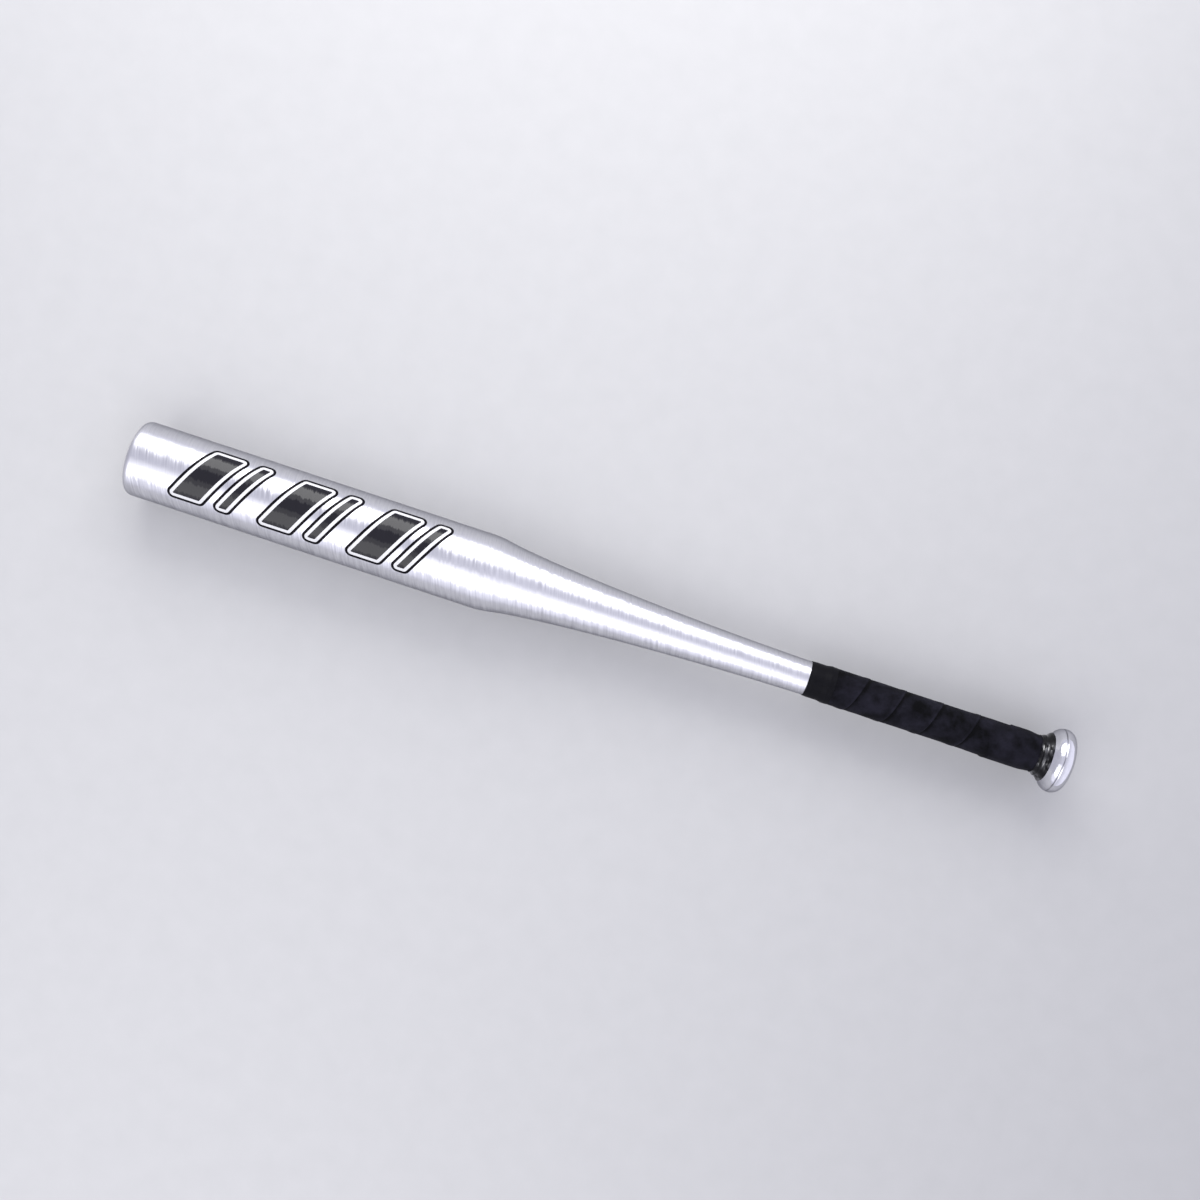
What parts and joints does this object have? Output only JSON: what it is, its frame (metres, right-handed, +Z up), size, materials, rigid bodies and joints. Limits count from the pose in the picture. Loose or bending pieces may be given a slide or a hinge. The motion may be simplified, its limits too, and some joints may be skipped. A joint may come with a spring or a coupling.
{
  "type": "baseball bat",
  "caption": "Short one-piece aluminium baseball bat: cylindrical barrel, long taper, spiral-wrapped black grip and polished round knob.",
  "frame": {"origin": "middle of the bat's length, straight under its axis, on the surface that the barrel lies on", "axes": "+X along the bat from the barrel end to the knob, +Z up from that surface; the printed side of the barrel faces +Z"},
  "size_m": [0.635, 0.0498, 0.0499],
  "materials": {
    "brushed_aluminium": "brushed round the axis",
    "polished_aluminium": "polished casting",
    "weld_aluminium": "as welded",
    "black_synthetic_leather": "matt, fine grain",
    "black_finishing_tape": "glossy, stretched on",
    "black_rubber": "matt moulded"
  },
  "bodies": {
    "root": {"bat_tube": "brushed_aluminium", "barrel_end_plug": "black_rubber", "knob": "polished_aluminium", "knob_weld": "weld_aluminium", "grip_wrap": "black_synthetic_leather", "grip_top_band": "black_finishing_tape", "knob_ring_band": "black_finishing_tape"}
  },
  "joints": []
}
